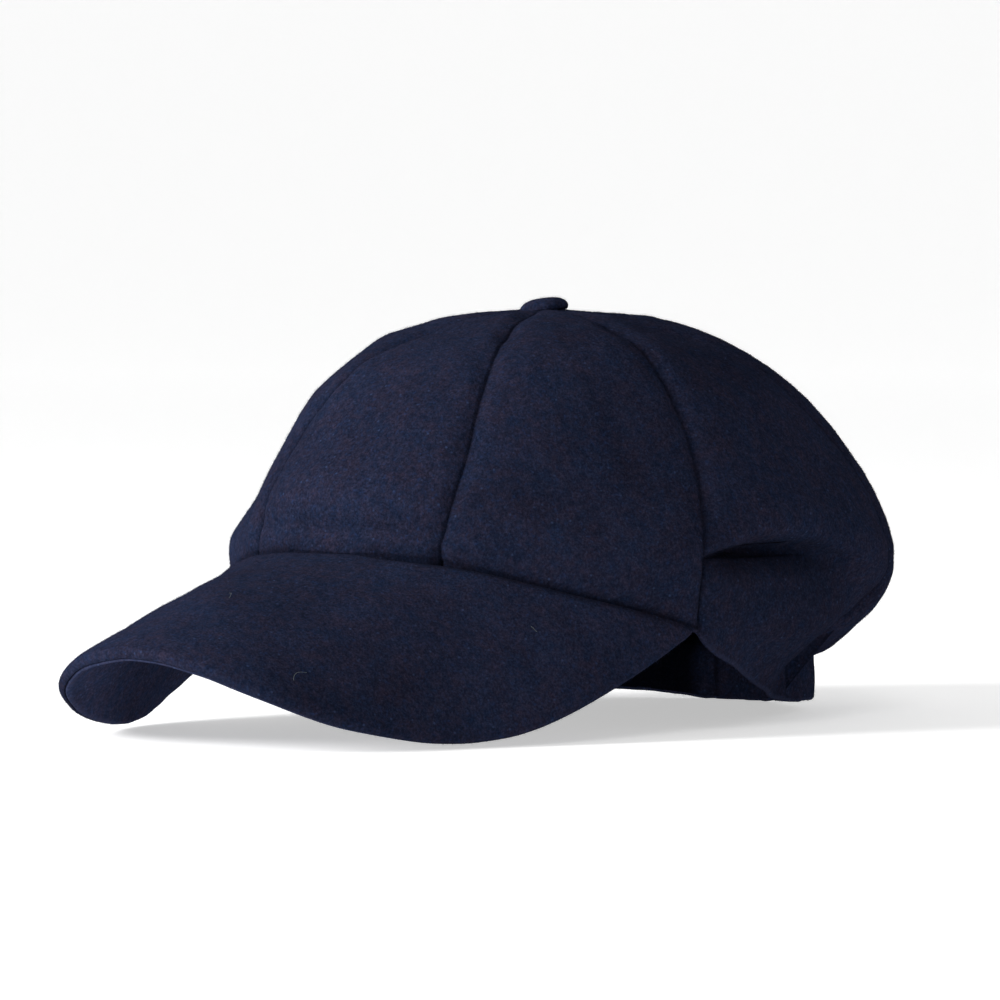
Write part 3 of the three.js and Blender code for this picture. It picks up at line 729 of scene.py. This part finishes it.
def cloth_object(name, loops, rows, density, seed, material, node, shades):
    """A closed piece of cloth from stations of loops, with its nap raised on the given rows of them."""
    painted_shade, wear_and_highlight = shades
    points, fibres, fibre_painted_shade = raised_fibres(loops[:, rows], painted_shade[:, rows], density, seed)
    rng = np.random.default_rng(seed + WEAR_AND_HIGHLIGHT_SEED_SHIFT)
    # Each fibre is made lighter by a random share, for wear and as a painted highlight.
    fibre_wear_and_highlight = np.repeat(rng.random(len(points) // FIBRE_POINTS) ** 2, FIBRE_POINTS)
    flat = loops.reshape(-1, 3)
    faces = loft_faces(*loops.shape[:2]) + (fibres + len(flat)).tolist()
    both = {
        "painted_shade": np.concatenate([painted_shade.ravel(), fibre_painted_shade]),
        "wear_and_highlight": np.concatenate([wear_and_highlight.ravel(), FIBRE["wear_and_highlight"] * fibre_wear_and_highlight]),
    }
    mesh_object(name, np.concatenate([flat, points]), faces, material, node, both)


def panel_azimuths(middle):
    """Azimuths across a panel, closer together towards its seams."""
    even = np.linspace(0, 1, PANEL_COLUMNS)
    crowded = lerp(even, 0.5 - 0.5 * np.cos(np.pi * even), PANEL_CROWDING)
    return middle + PANEL_SPAN * (crowded - 0.5)


def panel_rows():
    """Shares of the way down a panel: even near the button, finer over the crease and the gathers."""
    near_button = np.linspace(*BUTTON_ROWS) ** (DOME_SIDE_POWER / 2)
    return np.concatenate([
        DOME_SHARE * np.arcsin(near_button) / (np.pi / 2),
        np.linspace(*UPPER_ROWS, endpoint=False),
        np.linspace(*LOWER_ROWS),
    ])


def turned_hem(azimuth, outer, inner):
    """The rows round a panel's hem, between its outer and inner edges; outer and inner move with it."""
    level = (outer - inner) / 2
    level[..., 2] = 0
    centre = (outer + inner) / 2
    sewn = 1 - smooth(PEAK_CORNER_AZIMUTH - HEM_CORNER, PEAK_CORNER_AZIMUTH, np.abs(wrapped(azimuth)))
    lift = np.zeros_like(outer)
    lift[..., 2] = (HEM_LIFT_GATHERED * gathered(azimuth) - HEM_SUNK_SEWN * sewn)[:, None]
    down = np.array([0.0, 0.0, -CLOTH / 2])
    angles = np.radians(HEM_TURN)
    rows = [centre + level * math.cos(angle) + down * math.sin(angle) for angle in angles]
    return np.concatenate([outer, *rows, inner], 1) + lift


def crown_panel(node, middle, material, seed):
    """A panel: its outer face down to the hem, round the hem, and its inner face back up."""
    azimuth = panel_azimuths(middle)
    t = panel_rows()
    outer_azimuth, outer_t = np.meshgrid(azimuth, t, indexing="ij")
    inner_azimuth, inner_t = np.meshgrid(azimuth, t[::2], indexing="ij")
    outer = crown_surface(outer_azimuth, outer_t, NAP)
    inner = crown_surface(inner_azimuth, inner_t, CLOTH)
    inner_edge = crown_surface(azimuth[:, None], np.ones((PANEL_COLUMNS, 1)), CLOTH)
    hem = turned_hem(azimuth, outer[:, -1:], inner_edge)
    loops = np.concatenate([outer[:, :-1], hem, inner[:, ::-1]], 1)
    loops[..., 2] = np.maximum(loops[..., 2], 0)
    painted_shade = np.zeros(loops.shape[:2])
    painted_shade[:, :len(t)] = crown_shade(outer_azimuth, plain_crown(outer_azimuth, outer_t))
    painted_shade[:, -inner.shape[1]:] = inside_shade(inner_azimuth, inner)[:, ::-1]
    free = smooth(PEAK_CORNER_AZIMUTH, PEAK_CORNER_AZIMUTH + HEM_CORNER, np.abs(wrapped(azimuth)))
    edge = slice(len(t) - 1, len(t) + 2)
    # Painted highlight and wear along the free hem's turned edge.
    wear_and_highlight = np.zeros(loops.shape[:2])
    wear_and_highlight[:, edge] = HEM_WEAR_AND_HIGHLIGHT * free[:, None]
    nap = slice(0, len(t) + HEM_NAP_ROWS)
    name = node.replace("panel", "wool_panel")
    cloth_object(name, loops, nap, FIBRES_ON_CROWN, seed, material, node, (painted_shade, wear_and_highlight))


def peak_sheet(across, out):
    """The peak's upper face: across from -1 to 1 between its corners, out from the crown to the rim."""
    edge = hem_point(across * PEAK_CORNER_AZIMUTH)
    at = np.abs(across) * (len(PEAK_RIM) - 1)
    rim = through_rows(PEAK_RIM, at, mirrored(PEAK_RIM[1]), 2 * PEAK_RIM[-1] - PEAK_RIM[-2])
    rim[..., 0] *= np.where(across < 0, -1, 1)
    rim[..., 2] += PEAK_THICKNESS
    p = lerp(edge, rim, out[..., None])
    p[..., 2] += PEAK_BOW * 4 * out * (1 - out) * (1 - across * across)
    return p


def peak_normal(across, out):
    step = 0.01
    over = peak_sheet(across + step, out) - peak_sheet(across - step, out)
    away = peak_sheet(across, np.minimum(1, out + step)) - peak_sheet(across, np.maximum(0, out - step))
    normal = np.cross(over, away)
    return unit(normal * np.sign(normal[..., 2:3] + TINY))


def peak_stations():
    turn = np.linspace(-PEAK_STATION_SPREAD, PEAK_STATION_SPREAD, PEAK_STATIONS)
    return PEAK_END * np.sin(turn) / math.sin(PEAK_STATION_SPREAD)


def peak_row(across, out, depth):
    """A row of points along the peak, at a share of the way out and a depth below its upper face."""
    out = np.full_like(across, out)
    p = peak_sheet(across, out)
    lift = unevenness(PEAK_UNEVENNESS, p) - depth
    if depth < CLOTH:
        root_to_rim = peak_sheet(across, np.ones_like(out)) - peak_sheet(across, np.zeros_like(out))
        width = np.linalg.norm(root_to_rim, axis=-1)
        lift = lift - profile(PEAK_ROOT_PROFILE, out * width)
    return p + peak_normal(across, out) * lift[..., None]


def peak_tuck(across, depth):
    """The row inside the crown's hem, where the peak's seam allowance runs in under the panels."""
    inward = -crown_normal(across * PEAK_CORNER_AZIMUTH, np.ones_like(across))
    inward[..., 2] = 0
    level = np.maximum(peak_normal(across, np.zeros_like(across))[..., 2:3], PEAK_TUCK_LEAST)
    return peak_row(across, 0, depth) + unit(inward) * PEAK_TUCK * level


def peak_nose(across, degrees, outset):
    """A row round the peak's rim, at an angle from the upper face round to the under face."""
    just_inside = 0.95
    ones = np.ones_like(across)
    half = PEAK_THICKNESS / 2
    away = unit(peak_sheet(across, ones) - peak_sheet(across, just_inside * ones))
    angle = math.radians(degrees)
    turn = peak_normal(across, ones) * math.cos(angle) + away * math.sin(angle)
    return peak_row(across, 1, half) + turn * (half + outset)


def peak_seam_rows(across, table):
    """A cover's rows of (points, painted shade, wear and highlight) beside the seam round the rim."""
    return [
        (peak_nose(across, PEAK_SEAM_ANGLE + past_seam, outset), painted_shade, wear_and_highlight)
        for past_seam, outset, painted_shade, wear_and_highlight in table
    ]


def stacked(rows):
    """Loops for each station from rows of (points, painted shade, wear and highlight), none of them under
    the table.
    """
    loops = np.stack([row[0] for row in rows], 1)
    loops[..., 2] = np.maximum(loops[..., 2], 0)
    painted_shade = np.stack([np.full(len(loops), row[1]) for row in rows], 1)
    wear_and_highlight = np.stack([np.full(len(loops), row[2]) for row in rows], 1)
    return loops, painted_shade, wear_and_highlight


def add_peak_top(material):
    """The upper cover: out over its face, round the rim to the seam, and back along the inside."""
    across = peak_stations()
    rows = [(peak_tuck(across, TOP_TUCK_DEPTH), TOP_TUCK_PAINTED_SHADE, 0)]
    rows += [(peak_row(across, out, NAP), 0, 0) for out in np.linspace(*TOP_FACE)]
    rows += [(peak_nose(across, angle, -NAP), TOP_RIM_PAINTED_SHADE, 0) for angle in np.linspace(*TOP_RIM)]
    rows += peak_seam_rows(across, TOP_SEAM_ROWS)
    nap = slice(2, len(rows) - 2)
    rows += [(peak_row(across, out, CLOTH), 0, 0) for out in np.linspace(*TOP_INSIDE)]
    rows += [(peak_tuck(across, CLOTH), 0, 0)]
    loops, painted_shade, wear_and_highlight = stacked(rows)
    # Painted shade along the peak's root where the crown's hem meets it.
    from_crown = np.linalg.norm(loops - peak_row(across, 0, 0)[:, None], axis=-1)
    painted_shade = np.maximum(painted_shade, profile(SEWN_HEM_SHADE, from_crown / PEAK_ROOT_SHADE_SPREAD))
    cloth_object(
        "wool_peak_top", loops, nap, FIBRES_ON_CROWN, NAP_SEEDS["peak_top"],
        material, "peak_top", (painted_shade, wear_and_highlight),
    )


def add_peak_under(material):
    """The under cover: out along its inside, round its edge at the seam, and back over its face."""
    across = peak_stations()[PEAK_UNDER_CUT:-PEAK_UNDER_CUT]
    inside = [peak_row(across, out, UNDER_INSIDE_DEPTH) for out in np.linspace(*UNDER_INSIDE)]
    rows = [(row, UNDER_INSIDE_PAINTED_SHADE, 0) for row in inside]
    rows += peak_seam_rows(across, UNDER_SEAM_ROWS)
    face_start = len(rows) - 1
    rows += [(peak_nose(across, angle, 0), 0, UNDER_RIM_WEAR_AND_HIGHLIGHT) for angle in np.linspace(*UNDER_RIM)]
    rows += [(peak_row(across, out, PEAK_THICKNESS), 0, 0) for out in np.linspace(*UNDER_FACE)]
    loops, painted_shade, wear_and_highlight = stacked(rows)
    nap = slice(face_start, len(rows))
    cloth_object(
        "wool_peak_under", loops, nap, FIBRES_ON_UNDER_COVER, NAP_SEEDS["peak_under"],
        material, "peak_under", (painted_shade, wear_and_highlight),
    )


def button_loops():
    """Rings of the covered button: a low dome, drawn in under its edge to a shank."""
    share = np.sin(np.linspace(BUTTON_TIP_SHARE, 1, BUTTON_DOME_RINGS) * np.pi / 2)
    dome = [
        (BUTTON_RADIUS * s, BUTTON_HEIGHT * (1 - s ** BUTTON_SIDE_POWER) ** BUTTON_TOP_POWER)
        for s in share
    ]
    turn = np.linspace(0, 2 * np.pi, BUTTON_SPOKES, endpoint=False)
    folds = BUTTON_PUCKER["size"] * np.cos(turn * BUTTON_PUCKER["folds"] + BUTTON_PUCKER["start"])
    lean_towards = math.radians(VIEW["azimuth"])
    rings = []
    for r, z in dome + BUTTON_UNDER + BUTTON_SHANK:
        pucker = 1 + folds * (r > BUTTON_PUCKER["outside"]) * (z < BUTTON_PUCKER["under"])
        x, y = r * np.cos(turn) * pucker, r * np.sin(turn) * pucker
        lean = BUTTON_LEAN * (x * math.cos(lean_towards) + y * math.sin(lean_towards))
        rings.append(np.stack([x, y + APEX_Y, CROWN_TOP + BUTTON_SEAT + z + lean], -1))
    return np.stack(rings)


def add_button(material):
    rings = button_loops()
    count, spokes = rings.shape[:2]
    points = np.concatenate([rings.reshape(-1, 3), rings[0].mean(0)[None], rings[-1].mean(0)[None]])
    top, bottom = len(points) - 2, len(points) - 1
    faces = []
    for k in range(spokes):
        n = (k + 1) % spokes
        faces.append((top, k, n))
        faces.append((bottom, (count - 1) * spokes + n, (count - 1) * spokes + k))
        for i in range(count - 1):
            a, b = i * spokes, (i + 1) * spokes
            faces.append((a + k, b + k, b + n, a + n))
    around = np.concatenate([rings, rings[:, :1]], 1)[:BUTTON_DOME_RINGS]
    plain = np.zeros((spokes + 1, BUTTON_DOME_RINGS))
    grid = np.swapaxes(around, 0, 1)
    nap, fibres, fibre_painted_shade = raised_fibres(grid, plain, FIBRES_ON_BUTTON, NAP_SEEDS["button"])
    painted_shade = np.zeros(len(points))
    # Painted shade on the rings under the button's edge.
    painted_shade[BUTTON_DOME_RINGS * spokes:-2] = BUTTON_UNDER_PAINTED_SHADE
    shades = {
        "painted_shade": np.concatenate([painted_shade, fibre_painted_shade]),
        "wear_and_highlight": np.concatenate([np.zeros(len(points)), np.full(len(nap), BUTTON_NAP_WEAR_AND_HIGHLIGHT)]),
    }
    faces += (fibres + len(points)).tolist()
    points = np.concatenate([points, nap])
    mesh_object("wool_button", points, faces, material, "button", shades)


def lint_loops(from_across, from_out, from_heading, length, curl):
    """A loose fibre lying on the peak: a thin tube along a small curl."""
    share = np.linspace(0, 1, LINT_POINTS)
    heading = np.radians(from_heading + curl * share)
    step = length / LINT_POINTS
    across = from_across + np.cumsum(np.cos(heading)) * step / PEAK_SCALE[0]
    out = from_out + np.cumsum(np.sin(heading)) * step / PEAK_SCALE[1]
    normal = peak_normal(across, out)
    lift = LINT_LIFT + LINT_ARCH * np.sin(share * np.pi) ** 2
    path = peak_sheet(across, out) + normal * lift[:, None]
    along = unit(np.gradient(path, axis=0))
    beside = unit(np.cross(along, normal))
    above = np.cross(beside, along)
    turn = np.linspace(0, 2 * np.pi, LINT_SIDES, endpoint=False)[None, :, None]
    ring = beside[:, None] * np.cos(turn) + above[:, None] * np.sin(turn)
    return path[:, None] + LINT_THICKNESS / 2 * ring


def add_lint(material):
    for number, lint in enumerate(LINT_ON_PEAK):
        loops = lint_loops(*lint)
        faces = loft_faces(*loops.shape[:2])
        shades = {"painted_shade": np.zeros(loops.shape[:2])}
        mesh_object(f"lint_{number + 1}", loops.reshape(-1, 3), faces, material, None, shades)


def wool_material(name, base, seed):
    """Brushed felted wool: a heather of navy tints with sparse light flecks, and a soft matt nap."""
    material = bpy.data.materials.new(name)
    material.use_nodes = True
    nodes, links = material.node_tree.nodes, material.node_tree.links
    shader = nodes["Principled BSDF"]
    place = nodes.new("ShaderNodeTexCoord")
    moved = nodes.new("ShaderNodeMapping")
    moved.inputs["Location"].default_value = [seed * shift for shift in NOISE_SHIFT]
    links.new(place.outputs["Object"], moved.inputs["Vector"])

    def noise(scale, detail, roughness):
        node = nodes.new("ShaderNodeTexNoise")
        node.inputs["Scale"].default_value = scale
        node.inputs["Detail"].default_value = detail
        node.inputs["Roughness"].default_value = roughness
        links.new(moved.outputs["Vector"], node.inputs["Vector"])
        return node.outputs["Fac"]

    def ramp(source, stops):
        node = nodes.new("ShaderNodeValToRGB")
        links.new(source, node.inputs["Fac"])
        elements = node.color_ramp.elements
        while len(elements) < len(stops):
            elements.new(0.5)
        for element, (position, colour) in zip(elements, stops):
            element.position = position
            element.color = (*colour, 1)
        return node.outputs["Color"]

    def grey_ramp(source, places, low, high):
        return ramp(source, [(places[0], (low, low, low)), (places[1], (high, high, high))])

    def mix(kind, factor, a, b):
        """A mix of two colours, which are the node's inputs 6 and 7, with its result in output 2."""
        node = nodes.new("ShaderNodeMix")
        node.data_type = "RGBA"
        node.blend_type = kind
        if isinstance(factor, float):
            node.inputs["Factor"].default_value = factor
        else:
            links.new(factor, node.inputs["Factor"])
        for index, value in ((6, a), (7, b)):
            if isinstance(value, tuple):
                node.inputs[index].default_value = (*value, 1)
            else:
                links.new(value, node.inputs[index])
        return node.outputs[2]

    def attribute(label):
        node = nodes.new("ShaderNodeAttribute")
        node.attribute_name = label
        return node.outputs["Fac"]

    colour = ramp(noise(*GRAIN_NOISE), [(at, tuple(base * share)) for at, share in GRAIN_STOPS])
    for source, low, high in TINTS:
        tint = ramp(noise(*source), [(TINT_RANGE[0], low), (TINT_RANGE[1], high)])
        colour = mix("MULTIPLY", 1.0, colour, tint)
    for row in DYED_FIBRES:
        dyed = grey_ramp(noise(*row["noise"]), row["range"], 0, row["most"])
        colour = mix("MIX", dyed, colour, tuple(base * row["tint"]))
    cells = nodes.new("ShaderNodeTexVoronoi")
    cells.inputs["Scale"].default_value = FLECKS["scale"]
    links.new(moved.outputs["Vector"], cells.inputs["Vector"])
    near = grey_ramp(cells.outputs["Distance"], FLECKS["near"], 1, 0)
    chosen = grey_ramp(cells.outputs["Color"], FLECKS["chosen"], 0, FLECKS["most"])
    fleck = mix("MULTIPLY", 1.0, near, chosen)
    colour = mix("MIX", fleck, colour, tuple(base * FLECKS["tint"]))
    # Painted highlight and wear: lighter edges, rims and fibres.
    colour = mix("MIX", attribute("wear_and_highlight"), colour, tuple(base * WEAR_AND_HIGHLIGHT_TINT))
    # Painted shade: darker in seams, folds, recesses and inside, where little light gets.
    colour = mix("MIX", attribute("painted_shade"), colour, tuple(base * PAINTED_SHADE_TINT))
    links.new(colour, shader.inputs["Base Color"])

    height = nodes.new("ShaderNodeMath")
    height.operation = "ADD"
    for index, row in enumerate(FELT_NOISES):
        links.new(noise(*row), height.inputs[index])
    felt = nodes.new("ShaderNodeBump")
    felt.inputs["Strength"].default_value = FELT_STRENGTH
    felt.inputs["Distance"].default_value = FELT_HEIGHT
    links.new(height.outputs[0], felt.inputs["Height"])
    links.new(felt.outputs["Normal"], shader.inputs["Normal"])
    shader.inputs["Roughness"].default_value = 1.0
    shader.inputs["Specular IOR Level"].default_value = 0.0
    shader.inputs["Sheen Weight"].default_value = SHEEN_WEIGHT
    shader.inputs["Sheen Roughness"].default_value = SHEEN_ROUGHNESS
    shader.inputs["Sheen Tint"].default_value = SHEEN_TINT
    return material


def plain_material(name, colour, roughness):
    material = bpy.data.materials.new(name)
    material.use_nodes = True
    shader = material.node_tree.nodes["Principled BSDF"]
    shader.inputs["Base Color"].default_value = (*colour, 1)
    shader.inputs["Roughness"].default_value = roughness
    return material


def lint_material():
    """A pale fibre whose colour varies a little along it."""
    material = plain_material("pale_fibre", LINT_COLOUR, LINT_ROUGHNESS)
    nodes, links = material.node_tree.nodes, material.node_tree.links
    place = nodes.new("ShaderNodeTexCoord")
    noise = nodes.new("ShaderNodeTexNoise")
    noise.inputs["Scale"].default_value = LINT_NOISE_SCALE
    links.new(place.outputs["Object"], noise.inputs["Vector"])
    tint = nodes.new("ShaderNodeValToRGB")
    for element, share in zip(tint.color_ramp.elements, LINT_SHADES):
        element.color = (*(share * c for c in LINT_COLOUR), 1)
    links.new(noise.outputs["Fac"], tint.inputs["Fac"])
    links.new(tint.outputs["Color"], nodes["Principled BSDF"].inputs["Base Color"])
    return material


def add_camera():
    azimuth = math.radians(VIEW["azimuth"])
    elevation = math.radians(VIEW["elevation"])
    back = np.array([
        math.sin(azimuth) * math.cos(elevation),
        -math.cos(azimuth) * math.cos(elevation),
        math.sin(elevation),
    ])
    target = np.array([0, 0, VIEW["target_z"]])
    data = bpy.data.cameras.new("camera")
    camera = added("camera", data)
    camera.location = in_frame(target + back * VIEW["distance"])
    camera.rotation_euler = (math.pi / 2 - elevation, 0, azimuth)
    data.sensor_fit = "HORIZONTAL"
    data.sensor_width = SENSOR_WIDTH
    data.lens = SENSOR_WIDTH * PIXELS_PER_MM * VIEW["distance"] / PIXELS
    data.shift_x = (PIXELS / 2 - AXIS_PIXEL[0]) / PIXELS
    data.shift_y = (AXIS_PIXEL[1] - PIXELS / 2) / PIXELS
    data.clip_end = FARTHEST_SEEN
    bpy.context.scene.camera = camera


def table_outline():
    """The light table's outline from the side: away from the camera, and height."""
    reach, curve = TABLE["reach"], TABLE["curve"]
    outline = [(TABLE["front"], 0.0), (reach, 0.0)]
    for angle in np.radians(np.linspace(TABLE_CURVE_START, 90, TABLE_CURVE_ROWS)):
        outline.append((reach + curve * math.sin(angle), curve * (1 - math.cos(angle))))
    outline.append((reach + curve, TABLE["wall"]))
    return outline


def add_stage():
    """A pale light table that sweeps up behind the cap, square to the camera."""
    turn = math.radians(VIEW["azimuth"])
    outline = table_outline()
    points, faces = [], []
    for away, height in outline:
        for side in (-TABLE["half_width"], TABLE["half_width"]):
            x = side * math.cos(turn) - away * math.sin(turn)
            y = side * math.sin(turn) + away * math.cos(turn)
            points.append((x, y, height))
    for i in range(len(outline) - 1):
        faces.append((2 * i, 2 * i + 1, 2 * i + 3, 2 * i + 2))
    mesh = bpy.data.meshes.new("floor")
    mesh.from_pydata(points, [], faces)
    mesh.polygons.foreach_set("use_smooth", [True] * len(faces))
    material = plain_material("pale_floor", (TABLE_TONE,) * 3, TABLE_ROUGHNESS)
    shader = material.node_tree.nodes["Principled BSDF"]
    shader.inputs["Emission Color"].default_value = (1, 1, 1, 1)
    shader.inputs["Emission Strength"].default_value = TABLE_GLOW
    mesh.materials.append(material)
    floor = added("floor", mesh)


def add_light(name, location, size, watts):
    """A round soft light that faces the cap."""
    data = bpy.data.lights.new(name, "AREA")
    data.shape = "DISK"
    data.size = size
    data.energy = watts
    light = added(name, data)
    light.location = location
    x, y, z = np.array(LIGHTS_AIM) - location
    light.rotation_euler = (math.pi / 2 + math.atan2(z, math.hypot(x, y)), 0, math.atan2(-x, y))


def add_lights():
    world = bpy.data.worlds.new("studio")
    world.use_nodes = True
    background = world.node_tree.nodes["Background"]
    background.inputs["Color"].default_value = (1, 1, 1, 1)
    background.inputs["Strength"].default_value = ROOM_LIGHT
    bpy.context.scene.world = world
    for light in LIGHTS:
        add_light(**light)


add_camera()
bpy.context.scene.view_settings.view_transform = "Standard"
crown_wool = wool_material("crown_wool", WOOL, 1)
for index, (node, middle) in enumerate(PANEL_TABLE):
    crown_panel(node, middle, crown_wool, NAP_SEEDS["panels"] + index)
# The peak's covers get lighter copies of the wool: painted light.
add_peak_top(wool_material("peak_wool", WOOL * PEAK_WOOL_PAINTED_LIGHTER, 2))
add_peak_under(wool_material("under_wool", WOOL * UNDER_WOOL_PAINTED_LIGHTER, 3))
add_button(wool_material("button_wool", WOOL, 4))
add_lint(lint_material())
add_stage()
add_lights()
